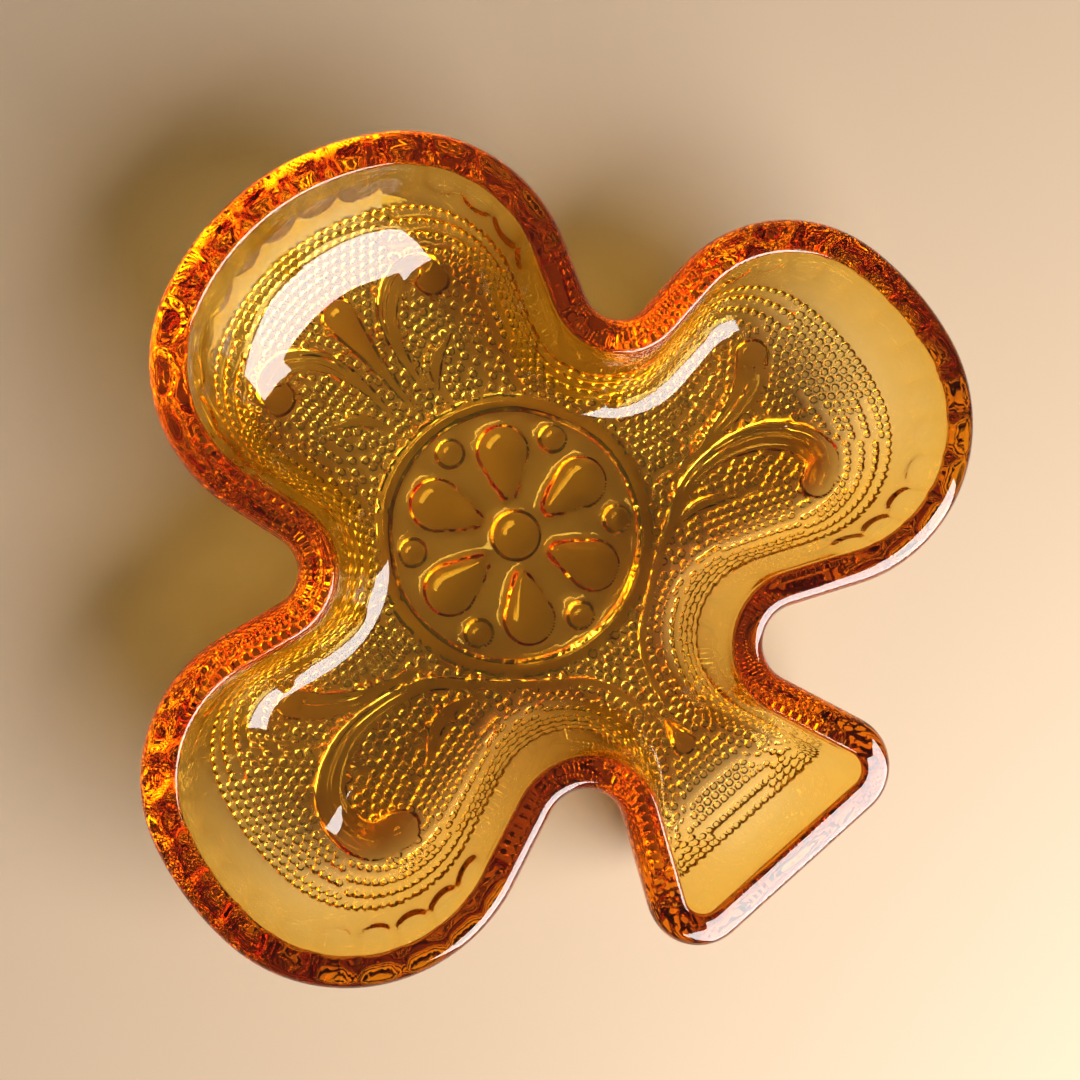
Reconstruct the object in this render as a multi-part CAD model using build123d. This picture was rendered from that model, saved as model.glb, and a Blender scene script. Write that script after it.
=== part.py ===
from build123d import *
import os
from math import acos, atan2, cos, hypot, pi, radians, sin, sqrt

# Club-shaped (trefoil with a short stem) pressed amber glass candy dish.
# +Z up. The origin is on the table plane, under the centre of the dish's bounding box.
# +Y runs along the mirror axis towards the far lobe, and the stem points to -Y.
# +X runs towards the right lobe. The dish is pressed in one piece, so the solids below are
# the moulded parts of one pressing, and they meet face to face.

# ---- driving dimensions, millimetres and degrees ----
HEIGHT = 27.0            # table to the sharp inner lip of the rim
RELIEF_BASE = 2.2        # underside of the dish floor above the table
FLOOR_TOP = 6.2          # inside floor above the table
RIM_FOOT = 19.6          # where the plain wall ends and the rim begins
LAND_WIDTH = 5.4         # inner lip to the widest outline
MEDALLION_Y = 1.0        # centre of the flower medallion on the mirror axis

# The widest outline is a chain of tangent arcs and lines, given here for the right half.
FAR_CENTRE_Y = 24.6
FAR_END_R = 42.0
FAR_SHOULDER_ANGLE = 28.6
FAR_SHOULDER_R = 24.6
UPPER_NOTCH_CENTRE = (34.4, 22.7)
UPPER_NOTCH_R = 5.4
SIDE_CENTRE = (25.8, -11.2)
SIDE_END_R = 46.7
SIDE_UPPER_ANGLE = 73.9
SIDE_UPPER_R = 23.9
SIDE_LOWER_ANGLE = 96.8
SIDE_LOWER_R = 26.3
LOWER_NOTCH_CENTRE = (22.1, -38.6)
LOWER_NOTCH_R = 6.1
STEM_CORNER_CENTRE = (14.7, -58.2)
STEM_CORNER_R = 8.4
STEM_CORNER_MIN_R = 1.0  # the stem's corner never gets sharper than this

# The ends of the three lobes are round bowls inside and out, of even thickness.
BOWL_FLAT = 22.0         # inset from a lobe's end where its bowl turns flat
BOWL_R = 17.5            # inside radius of a bowl

# Levels of the outer and inner skin: height, inset from the widest outline beside the notches,
# and inset on the narrow stem. The lobes come in further wherever their bowls do.
OUTER_LEVELS = [
    (RELIEF_BASE, 10.4, 8.4),
    (2.8, 8.2, 6.9),
    (4.2, 6.0, 5.4),
    (6.6, 4.5, 4.2),
    (9.6, 3.3, 3.2),
    (13.4, 2.2, 2.2),
    (RIM_FOOT, 1.0, 1.0),
    (23.6, 0.0, 0.0),
    (25.4, 0.8, 0.8),
    (26.5, 2.6, 2.6),
    (HEIGHT, LAND_WIDTH, LAND_WIDTH),
]
INNER_LEVELS = [
    (FLOOR_TOP, 15.6, 11.6),
    (6.8, 13.2, 10.4),
    (8.4, 10.8, 9.2),
    (11.6, 8.8, 8.2),
    (17.0, 7.2, 7.0),
    (HEIGHT, LAND_WIDTH, LAND_WIDTH),
]

# Foot ring and medallion relief under the floor.
FOOT_RING_R = 23.0
FOOT_RING_WIDTH = 1.8
RELIEF_DEPTH = 1.5
CENTRE_BEAD_R = 4.5
PETAL_COUNT = 6
PETAL_HEAD_R = 4.6
PETAL_HEAD_AT = 14.6
PETAL_TIP_AT = 6.6
SEED_R = 2.6
SEED_AT = 17.9
RELIEF_REACH = 9.0       # lobe relief follows the rounded underside up to this height
BEAD_TAPER = 25.0        # sides of the round beads lean in by this much

# Scroll relief. Each spine runs from a tail to a tip as (x, y, half width). The long scroll of a
# side lobe starts at the drop in the stem, skirts the foot ring and ends in the lobe's big curl.
# The two side lobes were cut by hand in the mould, and differ a little.
RIGHT_LOBE_SPINES = [
    [(1.9, -39.0, 0.5), (2.6, -33.5, 0.6), (5.8, -27.0, 0.7), (12.8, -21.2, 0.8), (20.2, -16.0, 1.0),
     (29.0, -11.4, 1.3), (37.0, -10.7, 1.7), (45.0, -13.2, 2.5), (50.4, -18.0, 2.9),
     (51.6, -23.6, 3.3), (48.6, -25.8, 3.5)],
    [(29.0, -8.4, 0.5), (39.5, -7.2, 1.4), (48.0, -5.0, 2.5), (53.0, -0.8, 2.7)],
    [(22.0, -15.4, 0.4), (29.0, -15.6, 1.1), (35.0, -18.4, 0.4)],
]
LEFT_LOBE_SPINES = [
    [(-1.9, -39.0, 0.5), (-2.6, -33.5, 0.6), (-5.8, -27.0, 0.7), (-13.0, -21.4, 0.8),
     (-21.2, -14.6, 1.0), (-29.0, -8.4, 1.2), (-40.5, -6.8, 1.6), (-47.6, -9.2, 2.2),
     (-52.3, -13.6, 2.7), (-53.8, -19.2, 3.2), (-51.6, -23.6, 3.7), (-47.2, -25.0, 3.8)],
    [(-27.0, -5.8, 0.5), (-36.5, -3.8, 1.3), (-43.4, -0.2, 2.3), (-46.4, 3.2, 2.6)],
    [(-22.0, -16.0, 0.4), (-29.5, -15.0, 1.3), (-36.5, -19.6, 0.4)],
]
FAR_SCROLL = [
    (3.6, 30.0, 0.5), (4.4, 37.5, 1.1), (7.0, 44.2, 1.7), (12.0, 47.8, 2.1), (16.0, 46.6, 2.8),
    (16.6, 44.0, 3.0),
]
FAR_SIDE_LEAF = [(5.2, 28.6, 0.4), (8.2, 32.6, 1.1), (13.0, 34.8, 0.4)]
FAR_LEAF_CENTRE_Y = 49.0
FAR_LEAF_R = 3.2
FAR_LEAF_TIP_Y = 27.5
STEM_DROP_CENTRE_Y = -46.2
STEM_DROP_R = 2.3
STEM_DROP_TIP_Y = -41.0


def point_on(centre, radius, angle):
    """Point at a compass angle (0 along +Y, 90 along +X) on a circle."""
    turn = radians(angle)
    return (centre[0] + radius * sin(turn), centre[1] + radius * cos(turn))


def tangent_line(start, end):
    """Ends of the line that leaves circle start and joins circle end, travelling clockwise.

    A circle is (centre, radius, side), where side is 1 on a bulge and -1 in a notch.
    """
    (ax, ay), ar, side_a = start
    (bx, by), br, side_b = end
    gap = hypot(bx - ax, by - ay)
    normal = atan2(by - ay, bx - ax) + acos((side_a * ar - side_b * br) / gap)
    leave = (ax + side_a * ar * cos(normal), ay + side_a * ar * sin(normal))
    arrive = (bx + side_b * br * cos(normal), by + side_b * br * sin(normal))
    return leave, arrive


def arc(circle, start, end):
    """Arc of a chain circle between two of its points, clockwise on a bulge."""
    (cx, cy), radius, side = circle
    first = atan2(start[1] - cy, start[0] - cx)
    last = atan2(end[1] - cy, end[0] - cx)
    sweep = (last - first) * -side % (2 * pi) * -side
    middle = first + sweep / 2
    return ThreePointArc(start, (cx + radius * cos(middle), cy + radius * sin(middle)), end)


def half_outline(lobe_inset, notch_inset, stem_inset):
    """Edges of the right half of the outline, moved in by its own amount at each place."""
    far_centre = (0.0, FAR_CENTRE_Y)
    shoulder_at = point_on(far_centre, FAR_END_R - FAR_SHOULDER_R, FAR_SHOULDER_ANGLE)
    upper_at = point_on(SIDE_CENTRE, SIDE_END_R - SIDE_UPPER_R, SIDE_UPPER_ANGLE)
    lower_at = point_on(SIDE_CENTRE, SIDE_END_R - SIDE_LOWER_R, SIDE_LOWER_ANGLE)
    corner_r = max(STEM_CORNER_R - stem_inset, STEM_CORNER_MIN_R)
    corner_shift = stem_inset - (STEM_CORNER_R - corner_r)
    corner_at = (STEM_CORNER_CENTRE[0] - corner_shift, STEM_CORNER_CENTRE[1] + corner_shift)

    far_end = (far_centre, FAR_END_R - lobe_inset, 1)
    shoulder = (shoulder_at, FAR_SHOULDER_R - lobe_inset, 1)
    upper_notch = (UPPER_NOTCH_CENTRE, UPPER_NOTCH_R + notch_inset, -1)
    side_upper = (upper_at, SIDE_UPPER_R - lobe_inset, 1)
    side_end = (SIDE_CENTRE, SIDE_END_R - lobe_inset, 1)
    side_lower = (lower_at, SIDE_LOWER_R - lobe_inset, 1)
    lower_notch = (LOWER_NOTCH_CENTRE, LOWER_NOTCH_R + stem_inset, -1)
    corner = (corner_at, corner_r, 1)

    apex = (0.0, FAR_CENTRE_Y + FAR_END_R - lobe_inset)
    far_joint = point_on(far_centre, FAR_END_R - lobe_inset, FAR_SHOULDER_ANGLE)
    upper_joint = point_on(SIDE_CENTRE, SIDE_END_R - lobe_inset, SIDE_UPPER_ANGLE)
    lower_joint = point_on(SIDE_CENTRE, SIDE_END_R - lobe_inset, SIDE_LOWER_ANGLE)
    a, b = tangent_line(shoulder, upper_notch)
    c, d = tangent_line(upper_notch, side_upper)
    e, f = tangent_line(side_lower, lower_notch)
    g, h = tangent_line(lower_notch, corner)
    heel = (corner_at[0], corner_at[1] - corner_r)
    return [
        arc(far_end, apex, far_joint),
        arc(shoulder, far_joint, a),
        Line(a, b),
        arc(upper_notch, b, c),
        Line(c, d),
        arc(side_upper, d, upper_joint),
        arc(side_end, upper_joint, lower_joint),
        arc(side_lower, lower_joint, e),
        Line(e, f),
        arc(lower_notch, f, g),
        Line(g, h),
        arc(corner, h, heel),
        Line(heel, (0.0, heel[1])),
    ]


def section(height, notch_inset, stem_inset, bowl_r):
    """Closed face of the dish's plan at one height, on bowls of that radius."""
    below_axis = FLOOR_TOP + BOWL_R - height
    bowl_inset = 0.0
    if height < RIM_FOOT:
        bowl_inset = BOWL_FLAT - sqrt(max(bowl_r ** 2 - below_axis ** 2, 0.0))
    right = half_outline(max(notch_inset, bowl_inset), notch_inset, stem_inset)
    left = [edge.mirror(Plane.YZ) for edge in right]
    return Pos(0, 0, height) * Face(Wire(right + left))


def skin(levels, bowl_r):
    """Solid whose side walls run straight from each level to the next."""
    bands = []
    for low, high in zip(levels, levels[1:]):
        bands.append(loft([section(*low, bowl_r), section(*high, bowl_r)], ruled=True))
    solid = bands[0]
    for band in bands[1:]:
        solid = solid.fuse(band)
    return solid


def slab(low, high):
    """Block wider than the dish between two heights."""
    wide = 4 * SIDE_END_R
    return Pos(0, 0, (low + high) / 2) * Box(wide, wide, high - low)


def dish_sections(body):
    """The floor, the wall and the rim, split level by level out of one shell."""
    shell = body - skin(INNER_LEVELS, BOWL_R)
    return {
        "dish_floor": shell & slab(RELIEF_BASE, FLOOR_TOP),
        "dish_wall": shell & slab(FLOOR_TOP, RIM_FOOT),
        "rim": shell & slab(RIM_FOOT, HEIGHT),
    }


def foot_ring():
    """Low ring under the floor that the dish stands on."""
    outer = Circle(FOOT_RING_R + FOOT_RING_WIDTH / 2)
    inner = Circle(FOOT_RING_R - FOOT_RING_WIDTH / 2)
    return Pos(0, MEDALLION_Y, 0) * extrude(outer - inner, RELIEF_BASE)


def raised(face, taper=0.0):
    """Relief of the given plan shape, standing down from the underside of the floor."""
    return extrude(Pos(0, 0, RELIEF_BASE) * face, RELIEF_DEPTH, dir=(0, 0, -1), taper=taper)


def drop(head, head_r, tip):
    """Plan shape of a teardrop: a round head drawn out to a point."""
    gap = hypot(tip[0] - head[0], tip[1] - head[1])
    toward = atan2(tip[1] - head[1], tip[0] - head[0])
    half = acos(head_r / gap)
    first = (head[0] + head_r * cos(toward + half), head[1] + head_r * sin(toward + half))
    last = (head[0] + head_r * cos(toward - half), head[1] + head_r * sin(toward - half))
    back = (head[0] - head_r * cos(toward), head[1] - head_r * sin(toward))
    return Face(Wire([Line(tip, first), ThreePointArc(first, back, last), Line(last, tip)]))


def flower():
    """Centre bead, six petals and the six seeds between them."""
    middle = (0.0, MEDALLION_Y)
    pieces = [raised(Pos(0, MEDALLION_Y) * Circle(CENTRE_BEAD_R), BEAD_TAPER)]
    for index in range(PETAL_COUNT):
        petal_angle = (index + 0.5) * 360 / PETAL_COUNT
        head = point_on(middle, PETAL_HEAD_AT, petal_angle)
        tip = point_on(middle, PETAL_TIP_AT, petal_angle)
        pieces.append(raised(drop(head, PETAL_HEAD_R, tip)))
        seed = point_on(middle, SEED_AT, index * 360 / PETAL_COUNT)
        pieces.append(raised(Pos(*seed) * Circle(SEED_R), BEAD_TAPER))
    return pieces


def ribbon(spine):
    """Plan shape of a leaf or scroll that follows a spine of (x, y, half width)."""
    line = Spline(*[(x, y) for x, y, half in spine])
    left = []
    right = []
    for index, (x, y, half) in enumerate(spine):
        along = line.tangent_at(line.param_at_point((x, y)))
        left.append((x - along.Y * half, y + along.X * half))
        right.append((x + along.Y * half, y - along.X * half))
    last_along = line.tangent_at(1)
    end_x, end_y, end_half = spine[-1]
    nose = (end_x + last_along.X * end_half, end_y + last_along.Y * end_half)
    return Face(Wire([
        Spline(*left),
        ThreePointArc(left[-1], nose, right[-1]),
        Spline(*reversed(right)),
        Line(right[0], left[0]),
    ]))


def mirrored(spine):
    """The same spine on the other side of the mirror axis."""
    return [(-x, y, half) for x, y, half in spine]


def group(pieces):
    """Separate solids that share one node."""
    return Compound(children=[solid for piece in pieces for solid in piece.solids()])


def on_lobes(faces, body):
    """Relief of the given plan shapes that follows the rounded underside of the body."""
    lowered = Pos(0, 0, -RELIEF_DEPTH) * body
    pieces = []
    for face in faces:
        foot = Pos(0, 0, RELIEF_BASE - RELIEF_DEPTH) * face
        tall = extrude(foot, RELIEF_REACH, dir=(0, 0, 1))
        pieces.append((tall & lowered) - body)
    return group(pieces)


def ribbons(spines):
    """Plan shapes of several spines."""
    return [ribbon(spine) for spine in spines]


def build():
    """Every node of the dish by name."""
    body = skin(OUTER_LEVELS, BOWL_R + FLOOR_TOP - RELIEF_BASE)
    far_right = [FAR_SCROLL, FAR_SIDE_LEAF]
    far_left = [mirrored(spine) for spine in far_right]
    centre_leaf = drop((0.0, FAR_LEAF_CENTRE_Y), FAR_LEAF_R, (0.0, FAR_LEAF_TIP_Y))
    stem_drop = drop((0.0, STEM_DROP_CENTRE_Y), STEM_DROP_R, (0.0, STEM_DROP_TIP_Y))
    nodes = dish_sections(body)
    nodes["foot_ring"] = foot_ring()
    nodes["flower_relief"] = group(flower())
    nodes["right_lobe_scrolls"] = on_lobes(ribbons(RIGHT_LOBE_SPINES), body)
    nodes["left_lobe_scrolls"] = on_lobes(ribbons(LEFT_LOBE_SPINES), body)
    nodes["far_lobe_scrolls"] = on_lobes(ribbons(far_right + far_left) + [centre_leaf], body)
    nodes["stem_drop"] = raised(stem_drop)
    return nodes


os.makedirs("parts", exist_ok=True)
for name, solid in build().items():
    export_step(solid, f"parts/{name}.step")
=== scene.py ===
import math

import bmesh
import bpy
import numpy as np
from mathutils import Matrix, Vector, kdtree, noise
from mathutils.geometry import delaunay_2d_cdt


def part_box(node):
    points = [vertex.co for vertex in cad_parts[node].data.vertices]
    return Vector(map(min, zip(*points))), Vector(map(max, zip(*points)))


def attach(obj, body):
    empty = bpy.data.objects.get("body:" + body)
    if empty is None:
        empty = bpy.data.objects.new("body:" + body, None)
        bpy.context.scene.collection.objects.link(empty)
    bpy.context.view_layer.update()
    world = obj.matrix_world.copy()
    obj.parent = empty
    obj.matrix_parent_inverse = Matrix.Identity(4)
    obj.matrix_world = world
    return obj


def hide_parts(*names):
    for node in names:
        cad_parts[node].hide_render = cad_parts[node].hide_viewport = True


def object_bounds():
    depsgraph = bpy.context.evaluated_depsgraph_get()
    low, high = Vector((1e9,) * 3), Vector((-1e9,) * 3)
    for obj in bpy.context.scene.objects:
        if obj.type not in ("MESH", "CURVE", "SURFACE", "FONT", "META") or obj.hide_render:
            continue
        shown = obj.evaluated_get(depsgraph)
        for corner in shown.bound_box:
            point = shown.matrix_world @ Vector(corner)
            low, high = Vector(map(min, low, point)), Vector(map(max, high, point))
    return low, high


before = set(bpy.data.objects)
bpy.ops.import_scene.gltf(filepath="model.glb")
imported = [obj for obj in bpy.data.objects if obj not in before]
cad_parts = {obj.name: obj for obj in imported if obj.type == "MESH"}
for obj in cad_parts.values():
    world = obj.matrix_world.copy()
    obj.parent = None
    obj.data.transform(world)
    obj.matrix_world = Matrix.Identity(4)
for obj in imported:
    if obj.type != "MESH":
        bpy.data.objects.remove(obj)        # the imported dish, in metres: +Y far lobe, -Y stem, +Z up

# The dish is one pressing of clear amber glass, so one closed mesh stands for every CAD node.
# It is worked out in millimetres and scaled to metres at the end. Levels come from the frame.

MM = 0.001
CAD_BOX = [list(corner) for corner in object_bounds()]
NODES = ("dish_floor", "dish_wall", "rim", "foot_ring", "flower_relief", "right_lobe_scrolls",
         "left_lobe_scrolls", "far_lobe_scrolls", "stem_drop")


def node_mm(node):
    """Lowest and highest corner of a CAD node in millimetres."""
    low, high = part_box(node)
    return np.array(low) / MM, np.array(high) / MM


floor_low, floor_high = node_mm("dish_floor")
rim_low, rim_high = node_mm("rim")
ring_low, ring_high = node_mm("foot_ring")
UNDERSIDE = floor_low[2]
FLOOR_TOP = floor_high[2]
HEIGHT = rim_high[2]
TABLE = ring_low[2]
MEDALLION = np.array([(ring_low[0] + ring_high[0]) / 2, (ring_low[1] + ring_high[1]) / 2])
RING_OUTER = (ring_high[0] - ring_low[0]) / 2

# ---------------------------------------------------------------- plan outline

# The widest outline as a chain of tangent arcs and lines, right half, millimetres and degrees.
FAR_CENTRE = (0.0, 24.6)
FAR_END_R = 42.0
FAR_SHOULDER = (28.6, 24.6)          # angle where it starts, radius
UPPER_NOTCH = ((34.4, 22.7), 5.4)
SIDE_CENTRE = (25.8, -11.2)
SIDE_END_R = 46.7
SIDE_UPPER = (73.9, 23.9)
SIDE_LOWER = (96.8, 26.3)
LOWER_NOTCH = ((22.1, -38.6), 6.1)
STEM_CORNER = ((14.7, -58.2), 8.4)
STEM_CORNER_MIN_R = 1.0
SIDE_END_SEGMENT = 6                 # place of the side lobe's end arc in half_outline
FLUTED_SEGMENTS = ((0, 1), (5, 7))   # first and last outline segment of each fluted run


def point_on(centre, radius, angle):
    """Point at a compass angle (0 along +Y, 90 along +X) on a circle."""
    turn = math.radians(angle)
    return np.array([centre[0] + radius * math.sin(turn), centre[1] + radius * math.cos(turn)])


def tangent_line(start, end):
    """Ends of the line that leaves circle start and joins circle end, travelling clockwise."""
    (a, a_r, a_side), (b, b_r, b_side) = start, end
    gap = b - a
    lean = math.acos((a_side * a_r - b_side * b_r) / math.hypot(*gap))
    normal = math.atan2(gap[1], gap[0]) + lean
    out = np.array([math.cos(normal), math.sin(normal)])
    return a + a_side * a_r * out, b + b_side * b_r * out


def half_outline(inset, stem_inset):
    """Segments of the right half: (start, end, circle), with circle None for a line."""
    far = np.array(FAR_CENTRE)
    side = np.array(SIDE_CENTRE)
    corner_r = max(STEM_CORNER[1] - stem_inset, STEM_CORNER_MIN_R)
    shift = stem_inset - (STEM_CORNER[1] - corner_r)
    far_end = (far, FAR_END_R - inset, 1)
    shoulder = (point_on(far, FAR_END_R - FAR_SHOULDER[1], FAR_SHOULDER[0]),
                FAR_SHOULDER[1] - inset, 1)
    upper_notch = (np.array(UPPER_NOTCH[0]), UPPER_NOTCH[1] + inset, -1)
    side_upper = (point_on(side, SIDE_END_R - SIDE_UPPER[1], SIDE_UPPER[0]),
                  SIDE_UPPER[1] - inset, 1)
    side_end = (side, SIDE_END_R - inset, 1)
    side_lower = (point_on(side, SIDE_END_R - SIDE_LOWER[1], SIDE_LOWER[0]),
                  SIDE_LOWER[1] - inset, 1)
    lower_notch = (np.array(LOWER_NOTCH[0]), LOWER_NOTCH[1] + stem_inset, -1)
    corner = (np.array(STEM_CORNER[0]) + (-shift, shift), corner_r, 1)

    apex = point_on(far, far_end[1], 0)
    far_joint = point_on(far, far_end[1], FAR_SHOULDER[0])
    upper_joint = point_on(side, side_end[1], SIDE_UPPER[0])
    lower_joint = point_on(side, side_end[1], SIDE_LOWER[0])
    a, b = tangent_line(shoulder, upper_notch)
    c, d = tangent_line(upper_notch, side_upper)
    e, f = tangent_line(side_lower, lower_notch)
    g, h = tangent_line(lower_notch, corner)
    heel = corner[0] - (0, corner_r)
    return [(apex, far_joint, far_end), (far_joint, a, shoulder), (a, b, None),
            (b, c, upper_notch), (c, d, None), (d, upper_joint, side_upper),
            (upper_joint, lower_joint, side_end), (lower_joint, e, side_lower), (e, f, None),
            (f, g, lower_notch), (g, h, None), (h, heel, corner),
            (heel, np.array([0.0, heel[1]]), None)]


def arc_span(start, end, circle):
    """First angle and signed sweep of an arc, clockwise on a bulge."""
    centre, radius, side = circle
    first = math.atan2(start[1] - centre[1], start[0] - centre[0])
    last = math.atan2(end[1] - centre[1], end[0] - centre[0])
    return first, -side * ((last - first) * -side % (2 * math.pi))


def segment_length(start, end, circle):
    if circle is None:
        return math.hypot(*(end - start))
    return abs(arc_span(start, end, circle)[1]) * circle[1]


def segment_points(segment, parts):
    """Points at the given fractions of one segment."""
    start, end, circle = segment
    if circle is None:
        return start + np.outer(parts, end - start)
    first, sweep = arc_span(start, end, circle)
    turn = first + sweep * parts
    return circle[0] + circle[1] * np.stack([np.cos(turn), np.sin(turn)], 1)


FLUTE_PITCH = 7.5
STEP = FLUTE_PITCH / 9               # spacing of the mesh along the widest outline

base_segments = half_outline(0.0, 0.0)
base_lengths = np.array([segment_length(*segment) for segment in base_segments])
base_ends = np.concatenate([[0.0], np.cumsum(base_lengths)])
HALF_LENGTH = base_ends[-1]
HALF_COUNT = round(HALF_LENGTH / STEP)
half_along = np.linspace(0.0, HALF_LENGTH, HALF_COUNT + 1)
half_segment = np.clip(np.searchsorted(base_ends, half_along, side="right") - 1,
                       0, len(base_lengths) - 1)
half_part = (half_along - base_ends[half_segment]) / base_lengths[half_segment]
LOOP = 2 * HALF_COUNT
loop_along = np.concatenate([half_along, half_along[-2:0:-1]])


def loop_points(inset, stem_inset):
    """The closed outline moved in by inset, always with the same points in the same order."""
    half = np.zeros((HALF_COUNT + 1, 2))
    for index, segment in enumerate(half_outline(inset, stem_inset)):
        here = half_segment == index
        half[here] = segment_points(segment, half_part[here])
    return np.concatenate([half, half[-2:0:-1] * (-1, 1)])


# ---------------------------------------------------------------- profiles of the wall

LAND = 5.4                           # inset of the inner lip
LAND_FALL = 0.16                     # the land falls this much from the lip to where the rim rounds
RIM_ROUND = 2.0                      # rounding of the rim's outer edge
DOTS_TOP = 10.2                      # the raised dots stop this high up the outside wall
FLAT_INSET = 10.4                    # where the underside turns flat beside the notches
UNDER_ROUND = 0.1                    # inset of the wall just under the rim
WITHIN = 0.002                       # the widest outline stays this far inside the CAD box
PATH_STEP = 0.2                      # spacing of the points that a profile is measured along
# The round ends of the lobes and the stem: inset where the end turns flat, inside radius, and
# slope of the outside wall where the dots stop, in degrees.
BOWLS = {"far": (25.5, 20.0, 54.0), "side": (25.5, 20.0, 51.0), "stem": (14.8, 9.0, 62.0)}


def smooth_path(points, step, fixed=None):
    """Points about step apart, or fixed in number per span, on a smooth curve (Catmull-Rom)."""
    points = np.asarray(points, float)
    padded = np.concatenate([[2 * points[0] - points[1]], points, [2 * points[-1] - points[-2]]])
    made = []
    for p0, p1, p2, p3 in zip(padded, padded[1:], padded[2:], padded[3:]):
        count = fixed or max(1, round(float(np.linalg.norm((p2 - p1)[:2])) / step))
        for t in np.arange(count) / count:
            made.append(0.5 * (2 * p1 + (p2 - p0) * t + (2 * p0 - 5 * p1 + 4 * p2 - p3) * t * t
                               + (3 * p1 - p0 - 3 * p2 + p3) * t ** 3))
    made.append(points[-1])
    return np.array(made)


def even(points, count):
    """The path through the points, read at count evenly spaced places."""
    path = smooth_path(points, PATH_STEP)
    run = np.concatenate([[0.0], np.cumsum(np.linalg.norm(np.diff(path, axis=0), axis=1))])
    marks = np.linspace(0.0, run[-1], count)
    return np.column_stack([np.interp(marks, run, path[:, k]) for k in (0, 1)])


def bowl(end, thickness, slopes):
    """Points (inset, height) of a round end, outside by that thickness, at the given slopes."""
    flat, inside_r, _ = BOWLS[end]
    radius = inside_r + thickness
    middle = FLOOR_TOP + inside_r
    return [(flat - radius * math.sin(math.radians(a)), middle - radius * math.cos(math.radians(a)))
            for a in slopes]


# Land and rounded outer edge of the rim, from the inner lip, as (inset, height).
LAND_PROFILE = [(LAND - 0.5, HEIGHT), (4.2, HEIGHT - 0.04), (3.1, HEIGHT - 0.11)]
for slope in (6, 20, 34, 48, 62, 76, 90):
    LAND_PROFILE.append((RIM_ROUND * (1 - math.sin(math.radians(slope))),
                         HEIGHT - LAND_FALL - RIM_ROUND * (1 - math.cos(math.radians(slope)))))
LAND_PROFILE += [(0.0, HEIGHT - 3.0), (UNDER_ROUND, HEIGHT - 4.1)]
LAND_PROFILE = [(max(inset, WITHIN), height) for inset, height in LAND_PROFILE]
# The inner lip is rounded a little.
LIP = [LAND_PROFILE[0], (LAND - 0.18, HEIGHT - 0.06), (LAND + 0.05, HEIGHT - 0.24),
       (LAND + 0.17, HEIGHT - 0.48), (LAND + 0.2, HEIGHT - 0.75)]

# Outside wall beside the notches: from the rim to the dots, then where the dots are, to the flat.
SIDE_WALL = [LAND_PROFILE[-1], (0.35, 22.4), (1.2, 18.9), (2.2, 14.0), (3.05, DOTS_TOP)]
SIDE_UNDER = [SIDE_WALL[-1], (3.55, 8.5), (4.3, 6.7), (5.4, 5.0), (6.9, 3.55), (8.6, 2.6),
              (FLAT_INSET, UNDERSIDE)]
# The same at the round ends. Where the dots are, the glass is a bowl of even thickness. Above them
# the wall of a lobe stands away from that bowl and meets the rim steeply.
THICKNESS = FLOOR_TOP - UNDERSIDE
END_WALL = {}
END_UNDER = {}
for end, (_, _, top) in BOWLS.items():
    if end == "stem":
        upper = [(0.35, 20.5), *bowl(end, THICKNESS, (80, 71))]
    else:
        upper = [(0.2, 21.3), (0.65, 19.0), (1.8, 16.7), (3.7, 14.3)]
    END_WALL[end] = [LAND_PROFILE[-1], *upper, *bowl(end, THICKNESS, (top,))]
    END_UNDER[end] = bowl(end, THICKNESS, np.linspace(top, 0, 8))
# Shares of the way down the wall at which the mesh has a ring.
WALL_FRACTIONS = (0.04, 0.09, 0.16, 0.24, 0.32, 0.40, 0.48, 0.56, 0.64, 0.73, 0.82, 0.91)
WALL_SAMPLES = 100

# Inside, from the lip down to the flat floor.
SIDE_INSIDE = [LIP[-1], (6.0, HEIGHT - 2.0), (6.5, HEIGHT - 5.0),
               (7.15, 17.2), (8.0, 13.4), (9.2, 10.4), (10.9, 8.2), (13.0, 6.9),
               (15.2, FLOOR_TOP + 0.1), (17.0, FLOOR_TOP)]
LOBE_SLOPES = (80, 69, 57.5, 47, 36.5, 25, 12, 0)
STEM_SLOPES = (80, 69, 57.5, 47, 36.5, 18, 0)
END_TOP = [LIP[-1], (5.7, HEIGHT - 2.0)]
END_INSIDE = {"far": [*END_TOP, *bowl("far", 0, LOBE_SLOPES)],
              "side": [*END_TOP, *bowl("side", 0, LOBE_SLOPES)],
              "stem": [*END_TOP, (5.8, 20.0), *bowl("stem", 0, STEM_SLOPES)]}
# The stem is narrow, so its skins come in less far: insets elsewhere, and those of the stem.
STEM_OUTSIDE = ([-20.0, 0.0, 1.0, 3.5, 5.4, 7.8, FLAT_INSET], [-20.0, 0.0, 1.0, 3.4, 4.9, 6.6, 8.4])
STEM_INSIDE = ([0.0, LAND, 7.2, 8.8, 10.8, 13.2, 17.0], [0.0, LAND, 7.0, 8.2, 9.2, 10.4, 11.7])


def fade(value):
    """Smooth step from 0 to 1."""
    value = np.clip(value, 0, 1)
    return value * value * (3 - 2 * value)


def inward_of(loop):
    """Unit vectors that point into a closed loop at each of its points, in plan."""
    ahead = np.roll(loop, -1, axis=0) - np.roll(loop, 1, axis=0)
    inward = np.column_stack([ahead[:, 1], -ahead[:, 0]])
    return inward / np.linalg.norm(inward, axis=1, keepdims=True)


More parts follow.
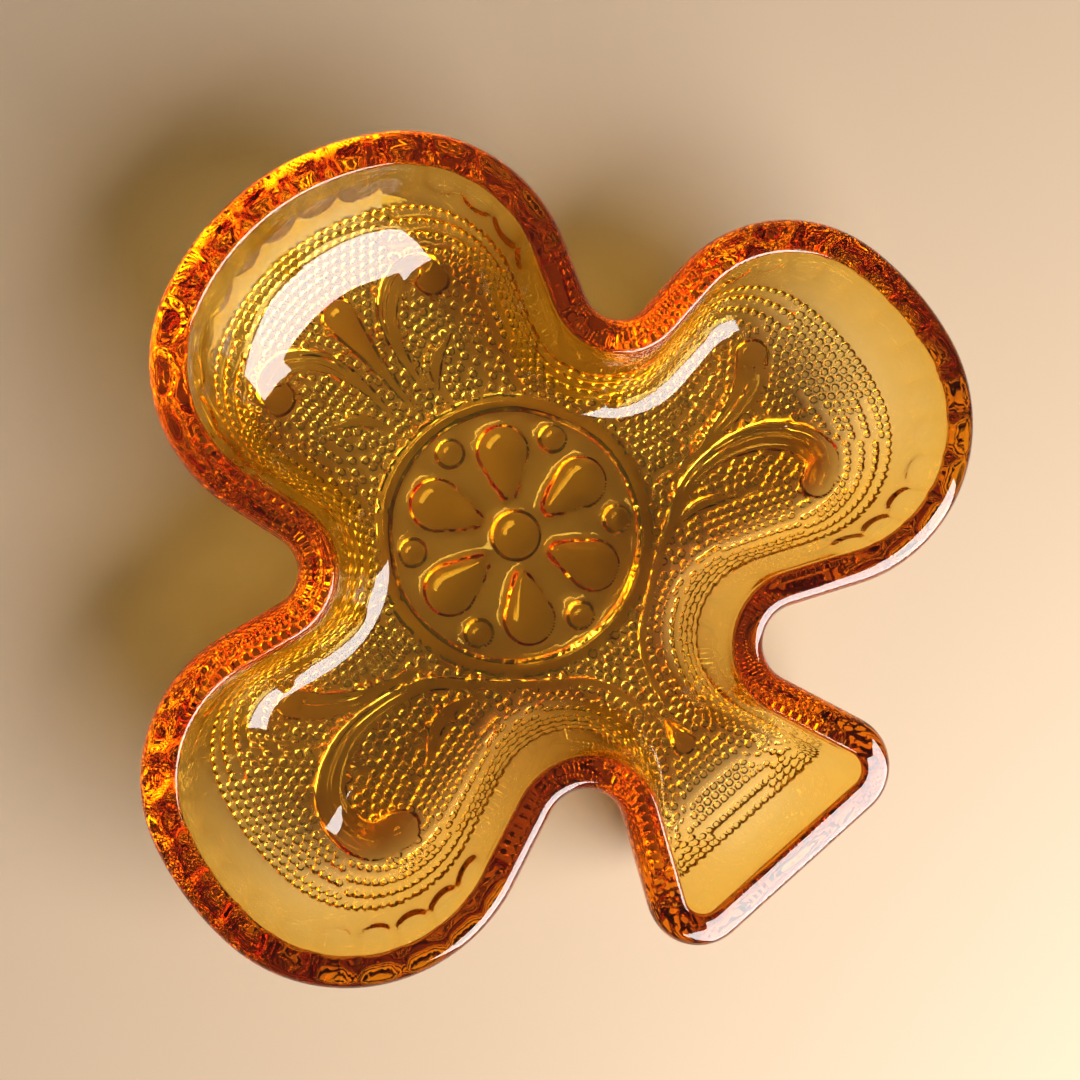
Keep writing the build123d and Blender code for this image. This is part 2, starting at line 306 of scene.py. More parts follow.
# How much of each round end's profile a point of the outline takes. All of it near the end's
# middle, then less: (distance along the outline where that starts, distance over which it fades).
END_REACH = {"far": (8.0, 42.0), "side": (6.0, 36.0), "stem": (3.0, 10.5)}
end_middle = {"far": 0.0, "stem": HALF_LENGTH,
              "side": (base_ends[SIDE_END_SEGMENT] + base_ends[SIDE_END_SEGMENT + 1]) / 2}
SHARE = {end: 1 - fade((np.abs(loop_along - end_middle[end]) - start) / length)
         for end, (start, length) in END_REACH.items()}
INWARD = inward_of(loop_points(FLAT_INSET, float(np.interp(FLAT_INSET, *STEM_OUTSIDE))))


def ring_at(inset, height, stem_curve, ends=None):
    """One ring of the mesh at that inset and height; ends gives the pair for each round end."""
    stem_inset = float(np.interp(inset, *stem_curve))
    flat = loop_points(inset, stem_inset)
    level = np.full(LOOP, float(height))
    for end, (end_inset, end_height) in (ends or {}).items():
        start = stem_inset if end == "stem" else inset
        flat = flat + INWARD * (SHARE[end] * (end_inset - start))[:, None]
        level = level + SHARE[end] * (end_height - height)
    return np.column_stack([flat, level])


# ---------------------------------------------------------------- relief on the underside

# Scroll spines from tail to tip as (x, y, half width), and the side that carries the sharp ridge:
# 1 on the left of the way the spine runs, -1 on the right, 0 for a plain rounded form.
SCROLLS = [
    ([(1.9, -39.0, 0.5), (2.6, -33.5, 0.6), (5.8, -27.0, 0.7), (12.8, -21.2, 0.8),
      (20.2, -16.0, 1.0), (29.0, -11.4, 1.4), (37.0, -10.7, 1.9), (45.0, -13.0, 2.7),
      (50.6, -18.0, 3.1), (51.8, -23.6, 3.6), (48.6, -26.2, 3.7)], 1),
    ([(29.0, -8.4, 0.5), (39.5, -7.2, 1.4), (48.0, -5.0, 2.6), (53.0, -0.8, 3.0)], 1),
    ([(22.0, -15.4, 0.4), (29.0, -15.6, 1.1), (35.0, -18.4, 0.4)], 1),
    ([(-1.9, -39.0, 0.5), (-2.6, -33.5, 0.6), (-5.8, -27.0, 0.7), (-13.0, -21.4, 0.8),
      (-21.2, -14.6, 1.0), (-29.0, -8.4, 1.3), (-40.5, -6.8, 1.8), (-47.8, -9.2, 2.5),
      (-52.4, -13.6, 2.9), (-53.6, -19.2, 3.3), (-51.6, -23.8, 3.8), (-47.0, -25.4, 3.9)], -1),
    ([(-27.0, -5.8, 0.5), (-36.5, -3.8, 1.3), (-43.6, -0.2, 2.4), (-46.6, 3.4, 3.0)], -1),
    ([(-22.0, -16.0, 0.4), (-29.5, -15.0, 1.3), (-36.5, -19.6, 0.4)], -1),
]
FAR_SCROLLS = [
    ([(3.6, 30.0, 0.5), (4.4, 37.5, 1.1), (7.0, 44.2, 1.8), (12.0, 47.8, 2.2), (16.2, 46.6, 2.9),
      (16.6, 44.0, 3.2)], 1),
    ([(5.2, 28.6, 0.4), (8.2, 32.6, 1.2), (13.0, 34.8, 0.4)], 1),
]
CENTRE_LEAF = ([(0.0, 28.0, 0.5), (0.0, 38.0, 1.4), (0.0, 48.6, 3.2)], 0)
STEM_DROP = ([(0.0, -41.0, 0.4), (0.0, -46.2, 2.3)], 0)
for spine, ridge in FAR_SCROLLS:
    SCROLLS.append((spine, ridge))
    SCROLLS.append(([(-x, y, half) for x, y, half in spine], -ridge))
SCROLLS += [CENTRE_LEAF, STEM_DROP]

PETALS = 6
PETAL_SPINE = [(6.4, 0.9), (10.2, 3.0), (14.6, 4.6)]      # radius from the middle, half width
SEED_AT = 17.9                       # radius of the ring of seeds between the petals' heads
SEED = (2.6, 1.6)                    # radius, depth
BEADS = [(MEDALLION, 4.5, 1.95)]     # centre, radius, depth
for turn in range(PETALS):
    petal_angle = (turn + 0.5) * 360 / PETALS
    petal = [(*point_on(MEDALLION, radius, petal_angle), half) for radius, half in PETAL_SPINE]
    SCROLLS.append((petal, 0))
    BEADS.append((point_on(MEDALLION, SEED_AT, turn * 360 / PETALS), *SEED))

SCROLL_DEPTH = 1.8
LEAST_DEPTH = 0.4                    # share of that depth that the thinnest ribbon has
# Section of a scroll, as shares of its half width and depth: a ridge on one side, a valley, and two
# ribs (place across, height) in the valley. Narrow ribbons and the bulb at the tip are plain.
VALLEY = 0.32
RIDGE_FROM = 0.3
RIDGE_RISE = 0.35
RIBS = ((-0.12, 0.32), (-0.8, 0.35))
RIB_WIDTH = 0.17
NARROW_HALF = 0.9                    # millimetres
WIDE_HALF = 1.7
FULL_DEPTH_HALF = 1.5
BULB_FROM = 0.88                     # share of the spine's length
BULB_RISE = 0.07

RING_HALF = 1.9                      # the ring fades into the underside, wider than the CAD's ring
RING_MIDDLE = RING_OUTER - 0.9       # in from the edge by half the CAD ring's width
RING_DEPTH = UNDERSIDE - TABLE
RING_SOFTNESS = 1.5
RING_DOT_ROOM = 0.9                  # dots start this far outside the ring

SPINE_STEP = 0.55
SPINE_HALF_MIN = 0.3
# Below 1 the relief has steeper sides and a flatter top.
DOME = 0.95
SCROLL_DOME = 0.6


class Scroll:
    """A raised ribbon that follows a spine, sampled closely."""

    def __init__(self, spine, ridge):
        path = smooth_path(spine, SPINE_STEP)
        self.at = path[:, :2]
        self.half = np.maximum(path[:, 2], SPINE_HALF_MIN)
        along = np.gradient(self.at, axis=0)
        self.along = along / np.linalg.norm(along, axis=1, keepdims=True)
        self.left = np.column_stack([-self.along[:, 1], self.along[:, 0]])
        self.ridge = ridge

    def measure(self, points):
        """Signed place across the ribbon (1 at its edge) and nearest spine sample of each point."""
        gaps = points[:, None, :] - self.at[None, :, :]
        share = np.linalg.norm(gaps, axis=2) / self.half[None, :]
        near = share.argmin(axis=1)
        rows = np.arange(len(points))
        side = np.sign(np.sum(gaps[rows, near] * self.left[near], axis=1))
        return share[rows, near] * np.where(side == 0, 1, side), near

    def depth(self, points):
        """How far the ribbon stands out below each point: a ridge on one side, scooped beside it."""
        across, near = self.measure(points)
        half = self.half[near]
        dome = np.sqrt(np.clip(1 - across ** 2, 0, 1))
        shape = np.ones(len(points))
        if self.ridge:
            lean = self.ridge * across
            scooped = VALLEY + (1 - VALLEY) * fade((lean - RIDGE_FROM) / RIDGE_RISE)
            for middle, height in RIBS:
                scooped += height * np.exp(-((lean - middle) / RIB_WIDTH) ** 2)
            wide = np.clip((half - NARROW_HALF) / (WIDE_HALF - NARROW_HALF), 0, 1)
            bulb = fade((near / (len(self.at) - 1) - BULB_FROM) / BULB_RISE)
            shape = 1 + wide * (1 - bulb) * (scooped - 1)
        steep = SCROLL_DOME if self.ridge else DOME
        full = np.clip(half / FULL_DEPTH_HALF, LEAST_DEPTH, 1.0)
        return SCROLL_DEPTH * full * dome ** steep * shape

    def mesh_points(self, spread):
        """Rows of points along the ribbon and round its ends."""
        rows = [self.at + self.left * (self.half * share)[:, None] for share in spread]
        tip, half = self.at[-1], self.half[-1]
        for share in spread:
            if share > 0:
                count = max(6, int(2 * math.pi * half * share / SPINE_STEP))
                turn = np.arange(count) * 2 * math.pi / count
                rows.append(tip + half * share * np.column_stack([np.cos(turn), np.sin(turn)]))
        return np.concatenate(rows)


scroll_forms = [Scroll(*entry) for entry in SCROLLS]


def relief_depth(points):
    """Depth of the scrolls, petals, beads and foot ring below the skin at flat-plan points."""
    deep = np.zeros(len(points))
    for form in scroll_forms:
        low = form.at.min(axis=0) - form.half.max()
        high = form.at.max(axis=0) + form.half.max()
        near = np.all((points > low) & (points < high), axis=1)
        if near.any():
            deep[near] = np.maximum(deep[near], form.depth(points[near]))
    for centre, radius, depth in BEADS:
        share = np.linalg.norm(points - centre, axis=1) / radius
        deep = np.maximum(deep, depth * np.sqrt(np.clip(1 - share ** 2, 0, 1)) ** DOME)
    off = np.abs(np.linalg.norm(points - MEDALLION, axis=1) - RING_MIDDLE) / RING_HALF
    ring = RING_DEPTH * np.clip(1 - off ** 2, 0, 1) ** RING_SOFTNESS
    return np.maximum(deep, ring)


def clear_of_relief(points, room):
    """True where a dot's middle is clear of the scrolls and outside the foot ring."""
    free = np.linalg.norm(points - MEDALLION, axis=1) > RING_OUTER + RING_DOT_ROOM
    for form in scroll_forms[:-PETALS]:
        gaps = np.linalg.norm(points[:, None, :] - form.at[None, :, :], axis=2)
        free &= (gaps - form.half[None, :]).min(axis=1) > room
    return free


# ---------------------------------------------------------------- underside, laid out flat

SKIN_ROWS = 49
LAST_ROW = SKIN_ROWS - 1.000001      # just short of the last row, so there is one after it
MERGE_PLAN = 1e-6                    # plan points closer than this count as one


def inside(points, loop):
    """True for points inside a closed loop."""
    x, y = points[:, 0], points[:, 1]
    count = np.zeros(len(points), int)
    for (ax, ay), (bx, by) in zip(loop, np.roll(loop, -1, axis=0)):
        crosses = (ay > y) != (by > y)
        if crosses.any():
            cut = ax + (y - ay) * (bx - ax) / (by - ay)
            count += crosses & (x < cut)
    return count % 2 == 1


def filled(points, loop):
    """Triangles that fill a closed loop using all the points; the loop comes first in them."""
    edges = [(i, (i + 1) % LOOP) for i in range(LOOP)]
    made = delaunay_2d_cdt([Vector(p) for p in points.tolist()], edges, [], 0, MERGE_PLAN, True)
    origin = [source[0] for source in made[3]]
    triangles = np.array([[origin[v] for v in face] for face in made[2]])
    return triangles[inside(points[triangles].mean(axis=1), loop)]


def tree_of(points):
    tree = kdtree.KDTree(len(points))
    for index, point in enumerate(points.tolist()):
        tree.insert(point if len(point) == 3 else (*point, 0), index)
    tree.balance()
    return tree


class Skin:
    """The lower outside skin laid out flat: the plan stays true over the flat underside, and the
    curved part lies round it at its real width. Rows run from the top of the dots to the flat."""

    def __init__(self):
        side = even(SIDE_UNDER, SKIN_ROWS)
        ends = {end: even(points, SKIN_ROWS) for end, points in END_UNDER.items()}
        self.solid = np.array([ring_at(*side[k], STEM_OUTSIDE, {end: ends[end][k] for end in ends})
                               for k in range(SKIN_ROWS)])
        steps = np.linalg.norm(np.diff(self.solid, axis=0), axis=2)
        left = np.concatenate([np.cumsum(steps[::-1], axis=0)[::-1], np.zeros((1, LOOP))])
        self.width = left[0]
        self.edge = self.solid[-1, :, :2]
        self.flat = self.edge[None] - INWARD[None] * left[:, :, None]
        around = np.roll(self.solid, -1, axis=1) - np.roll(self.solid, 1, axis=1)
        down = np.gradient(self.solid, axis=0)
        normal = np.cross(down, around)
        normal /= np.linalg.norm(normal, axis=2, keepdims=True)
        self.normal = normal * np.sign(-normal[-1, 0, 2])
        self.step = np.linalg.norm(around, axis=2) / 2
        around = np.roll(self.flat, -1, axis=1) - np.roll(self.flat, 1, axis=1)
        self.flat_step = np.linalg.norm(around, axis=2) / 2
        self.tree = tree_of(self.flat.reshape(-1, 2))

    def sample(self, table, row, place):
        """Bilinear reading of a table at a row and a place round the loop."""
        row = np.clip(row, 0, LAST_ROW)
        first = row.astype(int)
        part = row - first
        spot = np.floor(place).astype(int)
        slip = place - spot
        here, there = spot % LOOP, (spot + 1) % LOOP
        if table.ndim == 3:
            part, slip = part[:, None], slip[:, None]
        above = table[first, here] * (1 - slip) + table[first, there] * slip
        below = table[first + 1, here] * (1 - slip) + table[first + 1, there] * slip
        return above * (1 - part) + below * part

    def around(self, values, place):
        """Reading of values given round the loop at a place between its points."""
        spot = np.floor(place).astype(int)
        slip = place - spot
        if values.ndim == 2:
            slip = slip[:, None]
        return values[spot % LOOP] * (1 - slip) + values[(spot + 1) % LOOP] * slip

    def lay(self, down, place):
        """Flat place, solid place and normal at a distance down from the top edge."""
        width = self.around(self.width, place)
        row = down / width * (SKIN_ROWS - 1)
        flat = self.sample(self.flat, row, place)
        solid = self.sample(self.solid, row, place)
        normal = self.sample(self.normal, row, place)
        beyond = down > width
        edge = self.around(self.edge, place) + self.around(INWARD, place) * (down - width)[:, None]
        flat[beyond] = edge[beyond]
        solid[beyond, :2] = edge[beyond]
        solid[beyond, 2] = UNDERSIDE
        normal[beyond] = (0, 0, -1)
        return flat, solid, normal

    def seat(self, points):
        """Solid place and normal over each point of the flat layout."""
        solid = np.column_stack([points, np.full(len(points), UNDERSIDE)])
        normal = np.tile([0.0, 0.0, -1.0], (len(points), 1))
        outer = np.flatnonzero(~inside(points, self.edge))
        if not len(outer):
            return solid, normal
        nearest = np.array([self.tree.find((*points[i], 0))[1] for i in outer])
        row = (nearest // LOOP).astype(float)
        place = (nearest % LOOP).astype(float)
        for _ in range(2):
            miss = points[outer] - self.sample(self.flat, row, place)
            inward = self.around(INWARD, place)
            ahead = np.column_stack([-inward[:, 1], inward[:, 0]])
            pace = self.around(self.width, place) / (SKIN_ROWS - 1)
            row = np.clip(row + np.sum(miss * inward, axis=1) / pace, 0, SKIN_ROWS - 1)
            place = place + np.sum(miss * ahead, axis=1) / self.sample(self.flat_step, row, place)
        solid[outer] = self.sample(self.solid, row, place)
        normal[outer] = self.sample(self.normal, row, place)
        return solid, normal


skin = Skin()

DOT_PITCH = 1.68                     # from dot to dot along a row
DOT_ROW = 1.5                        # from row to row
DOT_R = 0.82
DOT_DEPTH = 0.92
DOT_RINGS = ((0.0, 1), (0.52, 5), (0.82, 7), (0.99, 7))    # share of the radius, points
DOT_ROUNDNESS = 0.6                  # exponent of the dome, 0.5 for a true half ellipsoid
DOT_EDGE_SHARE = 0.9                 # rings further out than this lie on the plain skin
DOT_FIRST_ROW = 0.95                 # distance of the first row from the top of the dots
DOT_ROWS = 26
ROW_ROOM = 0.92 * DOT_PITCH          # least distance from a dot in a row to any other
FILL_ROOM = 0.94 * DOT_PITCH         # the same for the dots that fill the gaps afterwards
FILL_SEARCH = 0.4                    # spacing of the places where they are tried
ROW_RELIEF_ROOM = 0.15               # least distance from a dot's middle to the relief, in rows
FILL_RELIEF_ROOM = 0.3               # and in the gaps
FOLD_SLACK = 0.3                     # a row ends where it folds back on itself by more than this


def dot_centres():
    """Dots in rows that follow the outline, from the wall inwards, skipping the relief. Each is its
    flat place, its place round the loop (-1 on the flat underside) and its distance down."""
    dots = []
    grid = {}

    def crowded(at, room):
        cell = (int(at[0] // DOT_PITCH), int(at[1] // DOT_PITCH))
        for i in (-1, 0, 1):
            for j in (-1, 0, 1):
                for other in grid.get((cell[0] + i, cell[1] + j), ()):
                    if math.dist(at, other) < room:
                        return True
        grid.setdefault(cell, []).append(tuple(at))
        return False

    columns = np.arange(LOOP).astype(float)
    edge_tree = tree_of(skin.edge)
    for row in range(DOT_ROWS):
        down = DOT_FIRST_ROW + row * DOT_ROW
        path = skin.lay(np.full(LOOP, down), columns)[1]
        gaps = np.linalg.norm(np.roll(path, -1, axis=0) - path, axis=1)
        run = np.concatenate([[0.0], np.cumsum(gaps)])
        count = int(run[-1] / DOT_PITCH)
        marks = (np.arange(count) + 0.5 * (row % 2)) * run[-1] / count
        places = np.interp(marks, run, np.arange(LOOP + 1))
        flat, solid, normal = skin.lay(np.full(count, down), places)
        width = skin.around(skin.width, places)
        free = clear_of_relief(flat, ROW_RELIEF_ROOM)
        for k in np.flatnonzero(free):
            beyond = down - width[k]
            if beyond > 0 and edge_tree.find((*flat[k], 0))[2] < beyond - FOLD_SLACK:
                continue
            if crowded(solid[k], ROW_ROOM):
                continue
            dots.append((flat[k], places[k] if down < width[k] + DOT_R else -1.0, down))
    low, high = skin.edge.min(axis=0), skin.edge.max(axis=0)
    xs, ys = np.meshgrid(np.arange(low[0], high[0], FILL_SEARCH),
                         np.arange(low[1], high[1], FILL_SEARCH))
    gaps = np.column_stack([xs.ravel(), ys.ravel()])
    gaps = gaps[inside(gaps, skin.edge)]
    gaps = gaps[clear_of_relief(gaps, FILL_RELIEF_ROOM)]
    for spot in gaps:
        if not crowded((*spot, UNDERSIDE), FILL_ROOM):
            dots.append((spot, -1.0, 0.0))
    return dots


# Mesh points on the lower skin: places across a ribbon, a bead and the foot ring as shares of their
# half width, and the least distances between points in millimetres.
RIBBON_SHARES = (-1.03, -0.97, -0.88, -0.72, -0.55, -0.38, -0.22, -0.06,
                 0.1, 0.26, 0.42, 0.6, 0.8, 0.92, 0.98, 1.03)
BEAD_SHARES = (0.3, 0.6, 0.82, 0.95, 1.0, 1.05)
BEAD_STEP = 0.6
RING_SHARES = (-1.06, -0.98, -0.8, -0.3, 0.3, 0.8, 0.98, 1.06)
RING_POINTS = 210
RELIEF_GAP = 0.22
ROW_FIRST, ROW_EVERY = 3, 4          # rows of the skin that are used
ROW_GAP = 0.45
ROW_OWN_GAP = 0.3
LATTICE_PITCH = 1.4
LATTICE_ROW = 1.2
LATTICE_GAP = 0.55


def build_lower(dots):
    """Vertices and triangles of the lower skin: dots, relief, foot ring and what lies between."""
    flat = [skin.flat[0]]
    solid = [skin.solid[0]]

    def keep(spots, base, normal, rise):
        flat.append(spots)
        solid.append(base + normal * np.maximum(rise, relief_depth(spots))[:, None])

    # round dots, on the wall and on the flat
    for share, count in DOT_RINGS:
        turn = (np.arange(count) + 0.5) * 2 * math.pi / count
        reach = DOT_R * share
        rise = DOT_DEPTH * (1 - share ** 2) ** DOT_ROUNDNESS if share < DOT_EDGE_SHARE else 0.0
        for wall in (True, False):
            group = [dot for dot in dots if (dot[1] >= 0) == wall]
            turns = np.tile(turn, len(group))
            if wall:
                place = np.repeat([dot[1] for dot in group], count)
                down = np.repeat([dot[2] for dot in group], count)
                row = down / skin.around(skin.width, place) * (SKIN_ROWS - 1)
                step = skin.sample(skin.step, row, place)
                spots, base, normal = skin.lay(down + reach * np.sin(turns),
                                               place + reach * np.cos(turns) / step)
            else:
                middle = np.repeat([dot[0] for dot in group], count, axis=0)
                spots = middle + reach * np.column_stack([np.cos(turns), np.sin(turns)])
                base, normal = skin.seat(spots)
            keep(spots, base, normal, rise)

    def add_points(points, room, own_room):
        """Points that keep their distance from those already there, and from each other."""
        tree = tree_of(np.concatenate(flat))
        own = {}
        kept = []
        for x, y in points.tolist():
            if tree.find((x, y, 0))[2] < room:
                continue
            cell = (int(x // own_room), int(y // own_room))
            near = [p for i in (-1, 0, 1) for j in (-1, 0, 1)
                    for p in own.get((cell[0] + i, cell[1] + j), ())]
            if any(math.hypot(x - p[0], y - p[1]) < own_room for p in near):
                continue
            own.setdefault(cell, []).append((x, y))
            kept.append((x, y))
        kept = np.array(kept)
        keep(kept, *skin.seat(kept), 0.0)

    # relief: scrolls, petals, beads and foot ring
    plan = [form.mesh_points(RIBBON_SHARES) for form in scroll_forms]
    for centre, radius, depth in BEADS:
        plan.append(np.array([centre]))
        for share in BEAD_SHARES:
            count = max(8, int(2 * math.pi * radius * share / BEAD_STEP))
            turn = np.arange(count) * 2 * math.pi / count
            plan.append(centre + radius * share * np.column_stack([np.cos(turn), np.sin(turn)]))
    for share in RING_SHARES:
        radius = RING_MIDDLE + RING_HALF * share
        turn = np.arange(RING_POINTS) * 2 * math.pi / RING_POINTS
        plan.append(MEDALLION + radius * np.column_stack([np.cos(turn), np.sin(turn)]))
    plan = np.concatenate(plan)
    add_points(plan[inside(plan, skin.flat[0])], RELIEF_GAP, RELIEF_GAP)

    # plain rows on the curved part and a plain lattice over the flat fill what is left
    rows = skin.flat[ROW_FIRST::ROW_EVERY].reshape(-1, 2)
    add_points(rows, ROW_GAP, ROW_OWN_GAP)
    low, high = skin.edge.min(axis=0), skin.edge.max(axis=0)
    xs, ys = np.meshgrid(np.arange(low[0], high[0], LATTICE_PITCH),
                         np.arange(low[1], high[1], LATTICE_ROW))
    xs = xs + LATTICE_PITCH / 2 * (np.arange(len(xs)) % 2)[:, None]
    lattice = np.column_stack([xs.ravel(), ys.ravel()])
    add_points(lattice[inside(lattice, skin.edge)], LATTICE_GAP, LATTICE_GAP)

    flat = np.concatenate(flat)
    return np.concatenate(solid), filled(flat, flat[:LOOP])


# ---------------------------------------------------------------- flutes and waviness of the wall

FLUTE_DEPTH = 0.75
FLUTE_LOW = 13.6                     # height of a flute's lower end at its middle
FLUTE_ARCH = 2.4                     # the lower end is this much higher at the flute's sides
FLUTE_RAMP = 3.2                     # height over which a flute reaches its depth
FLUTE_HIGH = 25.0                    # height where it ends under the rim
FLUTE_FADE = 6.5                     # height over which it fades out upwards
FLUTE_SQUARE = 6                     # exponent across a flute: higher is flatter with sharper sides
WAVE = 0.07                          # unevenness of the outside wall
WAVE_LENGTH = 5.0
RIPPLE = 0.1                         # unevenness of the inside wall, drawn out along the wall
RIPPLE_LONG = 14.0
RIPPLE_RINGS = 1.6
RIPPLE_START, RIPPLE_END = 4, 3      # rings over which it sets in below the lip and dies at the floor
INSIDE_RINGS = 3                     # rings of the mesh between two points of the inside profile


def flute_depth(along, height):
    """How far the shallow flutes are cut into the wall under the rim."""
    cut = np.zeros(len(along))
    for first, last in FLUTED_SEGMENTS:
        start, end = base_ends[first], base_ends[last + 1]
        count = round((end - start) / FLUTE_PITCH)
        phase = (along - start) / (end - start) * count + (0.5 if first == 0 else 0.0)
        across = 2 * (phase % 1.0) - 1
        here = (along >= start) & (along <= end)
        low = FLUTE_LOW + FLUTE_ARCH * across ** 2
        lift = fade((height - low) / FLUTE_RAMP) * fade((FLUTE_HIGH - height) / FLUTE_FADE)
        cut = np.where(here, FLUTE_DEPTH * (1 - across ** FLUTE_SQUARE) * lift, cut)
    return cut


def build_shell():
    """The whole closed mesh: land and wall, lower skin, inside and floor."""
    rings = [ring_at(a, z, STEM_INSIDE) for a, z in LAND_PROFILE]
    for ring in rings:
        ring[:, :2] += INWARD * flute_depth(loop_along, ring[:, 2])[:, None]
    side = even(SIDE_WALL, WALL_SAMPLES + 1)
    ends = {end: even(points, WALL_SAMPLES + 1) for end, points in END_WALL.items()}
    for fraction in WALL_FRACTIONS:
        k = round(WALL_SAMPLES * fraction)
        ring = ring_at(*side[k], STEM_OUTSIDE, {end: ends[end][k] for end in ends})
        wave = np.array([noise.noise(Vector(p) / WAVE_LENGTH) for p in ring]) + 0.5
        push = flute_depth(loop_along, ring[:, 2]) + WAVE * wave
        ring[:, :2] += INWARD * push[:, None]
        rings.append(ring)
    inner = smooth_path(SIDE_INSIDE, 0, INSIDE_RINGS)
    inner_end = {end: smooth_path(points, 0, INSIDE_RINGS) for end, points in END_INSIDE.items()}
    inner_rings = [ring_at(a, z, STEM_INSIDE) for a, z in LIP[1:]]
    for k in range(1, len(inner)):
        ring = ring_at(*inner[k], STEM_INSIDE, {end: inner_end[end][k] for end in SHARE})
        ripple = np.array([noise.noise(Vector((x / RIPPLE_LONG, y / RIPPLE_LONG, k / RIPPLE_RINGS)))
                           for x, y, z in ring])
        calm = fade(k / RIPPLE_START) * fade((len(inner) - 1 - k) / RIPPLE_END)
        ring[:, 2] += RIPPLE * ripple * calm
        inner_rings.append(ring)

    vertices = np.concatenate(rings)
    here = np.arange(LOOP)
    there = (here + 1) % LOOP

    def band(first, second):
        """Quads between two rings that start at those vertices."""
        return np.column_stack([first + here, first + there, second + there, second + here]).tolist()

    faces = []
    for k in range(len(rings) - 1):
        faces += band(k * LOOP, (k + 1) * LOOP)
    lower, triangles = build_lower(dot_centres())
    start = len(vertices)
    faces += band(start - LOOP, start)
    faces += (start + triangles).tolist()
    vertices = np.concatenate([vertices, lower, *inner_rings])
    start += len(lower)
    faces += band(0, start)
    for k in range(len(inner_rings) - 1):
        faces += band(start + k * LOOP, start + (k + 1) * LOOP)
    floor_edge = inner_rings[-1][:, :2]
    faces += (start + (len(inner_rings) - 1) * LOOP + filled(floor_edge, floor_edge)).tolist()
    return vertices, faces


MERGE_SOLID = 1e-7                   # metres


def mesh_object(name, vertices, faces):
    mesh = bpy.data.meshes.new(name)
    mesh.from_pydata((vertices * MM).tolist(), [], faces)
    mesh.validate()
    made = bpy.data.objects.new(name, mesh)
    bpy.context.scene.collection.objects.link(made)
    return made


def finish_mesh(made):
    """Doubled points are merged, faces point out of the glass, and shading is smooth."""
    work = bmesh.new()
    work.from_mesh(made.data)
    bmesh.ops.remove_doubles(work, verts=work.verts, dist=MERGE_SOLID)
    bmesh.ops.recalc_face_normals(work, faces=work.faces)
    work.to_mesh(made.data)
    work.free()
    made.data.shade_smooth()


# ---------------------------------------------------------------- materials

GLASS_IOR = 1.52
AMBER_DENSITY = 298.0                # per metre
AMBER_PASS = (0.975, 0.803, 0.03, 1.0)    # share of that density that each colour escapes
FLOOR_COLOUR = (0.39, 0.282, 0.186, 1.0)
FLOOR_ROUGHNESS = 0.75


def amber_glass():
    """Clear amber glass: the colour builds up with the length of the way through."""
    material = bpy.data.materials.new("amber_pressed_glass")
    material.use_nodes = True
    nodes, links = material.node_tree.nodes, material.node_tree.links
    shader = nodes["Principled BSDF"]
    output = nodes["Material Output"]
    shader.inputs["Base Color"].default_value = (1, 1, 1, 1)
    shader.inputs["Transmission Weight"].default_value = 1.0
    shader.inputs["IOR"].default_value = GLASS_IOR
    shader.inputs["Roughness"].default_value = 0.0
    absorb = nodes.new("ShaderNodeVolumeAbsorption")
    absorb.inputs["Color"].default_value = AMBER_PASS
    absorb.inputs["Density"].default_value = AMBER_DENSITY
    links.new(absorb.outputs["Volume"], output.inputs["Volume"])
    return material


def pale_floor():
    material = bpy.data.materials.new("pale_floor")
    material.use_nodes = True
    shader = material.node_tree.nodes["Principled BSDF"]
    shader.inputs["Base Color"].default_value = FLOOR_COLOUR
    shader.inputs["Roughness"].default_value = FLOOR_ROUGHNESS
    return material


# ---------------------------------------------------------------- the piece

vertices, faces = build_shell()
dish = mesh_object("candy_dish_glass", vertices, faces)
finish_mesh(dish)
dish.data.materials.append(amber_glass())
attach(dish, "root")
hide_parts(*NODES)

# ---------------------------------------------------------------- floor, light and camera

FLOOR_HALF = 1.5
floor_mesh = bpy.data.meshes.new("floor")
floor_mesh.from_pydata([(-FLOOR_HALF, -FLOOR_HALF, 0), (FLOOR_HALF, -FLOOR_HALF, 0),
                        (FLOOR_HALF, FLOOR_HALF, 0), (-FLOOR_HALF, FLOOR_HALF, 0)], [], [(0, 1, 2, 3)])
floor = bpy.data.objects.new("floor", floor_mesh)
bpy.context.scene.collection.objects.link(floor)
floor.location.z = CAD_BOX[0][2]
floor.data.materials.append(pale_floor())

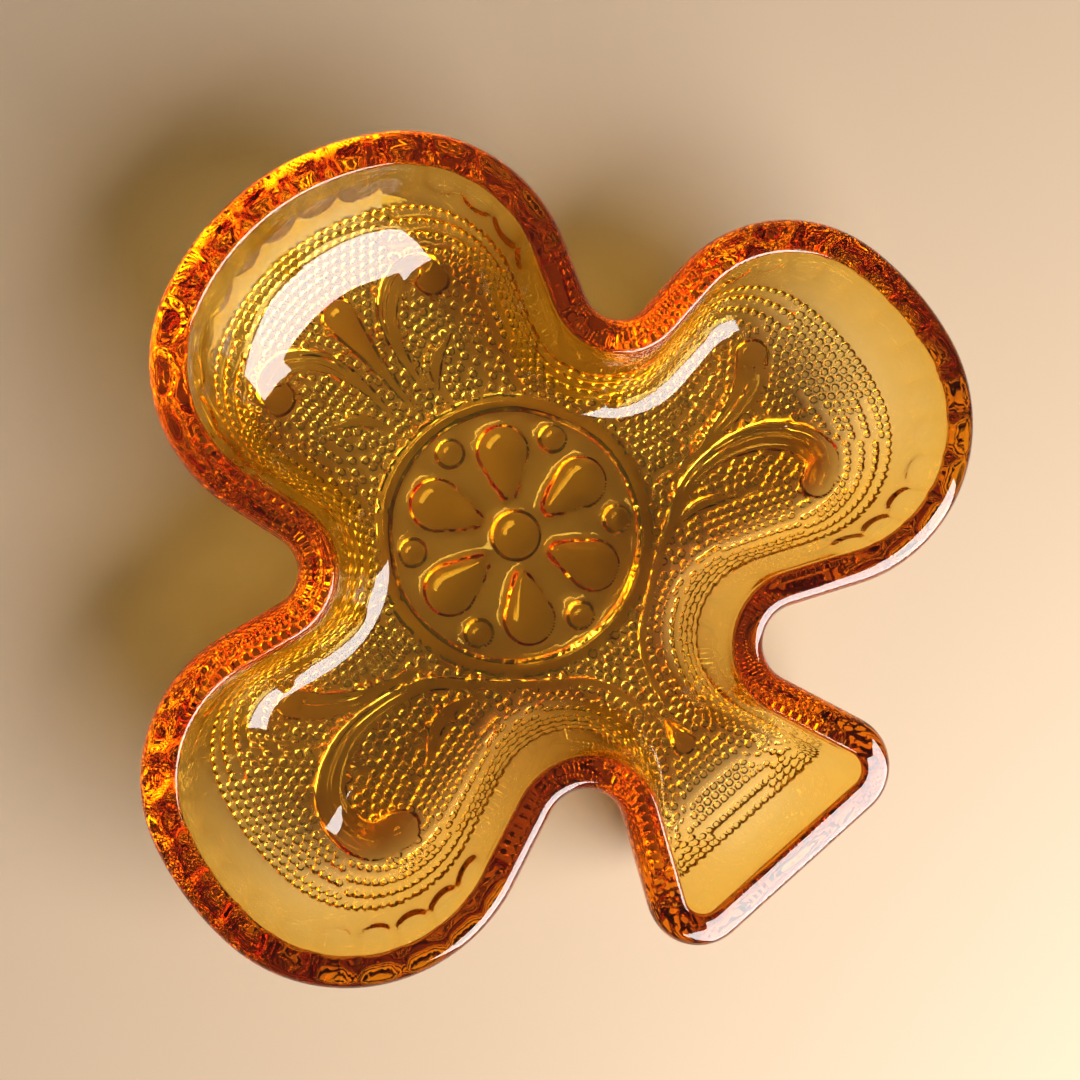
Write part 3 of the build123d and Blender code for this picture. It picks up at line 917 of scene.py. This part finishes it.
CAMERA_AT = (-0.0167, 0.0169, 0.182)
CAMERA_LOOKS_AT = (0.0031, -0.0026, 0.0)
CAMERA_UP_ANGLE = 39.21              # compass angle of the picture's up direction in plan
CAMERA_LENS = 35.0
CAMERA_SENSOR = 36.0
CAMERA_CLIP = 0.005
# The window stands beyond the picture's lower right corner, which is towards -Y.
WINDOW_AT = (0.11, -0.567, 0.341)
WINDOW_SIZE = (0.7, 0.63)
WINDOW_POWER = 20.0
WINDOW_COLOUR = (1.0, 0.99, 0.97)
ROOM_COLOUR = (0.86, 0.88, 0.92, 1.0)
ROOM_STRENGTH = 0.10


def facing(place, target, up):
    """Matrix of a camera or lamp at place that looks at target."""
    forward = (Vector(target) - Vector(place)).normalized()
    right = forward.cross(Vector(up)).normalized()
    above = right.cross(forward)
    turn = Matrix((right, above, -forward)).transposed().to_4x4()
    turn.translation = Vector(place)
    return turn


camera_data = bpy.data.cameras.new("camera")
camera_data.lens = CAMERA_LENS
camera_data.sensor_width = CAMERA_SENSOR
camera_data.clip_start = CAMERA_CLIP
camera = bpy.data.objects.new("camera", camera_data)
bpy.context.scene.collection.objects.link(camera)
up_turn = math.radians(CAMERA_UP_ANGLE)
camera.matrix_world = facing(CAMERA_AT, CAMERA_LOOKS_AT, (math.sin(up_turn), math.cos(up_turn), 0))
bpy.context.scene.camera = camera

window_data = bpy.data.lights.new("window", "AREA")
window_data.shape = "RECTANGLE"
window_data.size, window_data.size_y = WINDOW_SIZE
window_data.energy = WINDOW_POWER
window_data.color = WINDOW_COLOUR
window = bpy.data.objects.new("window", window_data)
bpy.context.scene.collection.objects.link(window)
window.matrix_world = facing(WINDOW_AT, (0, 0, 0), (0, 0, 1))

world = bpy.data.worlds.new("studio")
world.use_nodes = True
world.node_tree.nodes["Background"].inputs["Color"].default_value = ROOM_COLOUR
world.node_tree.nodes["Background"].inputs["Strength"].default_value = ROOM_STRENGTH
bpy.context.scene.world = world
bpy.context.scene.view_settings.view_transform = "Standard"
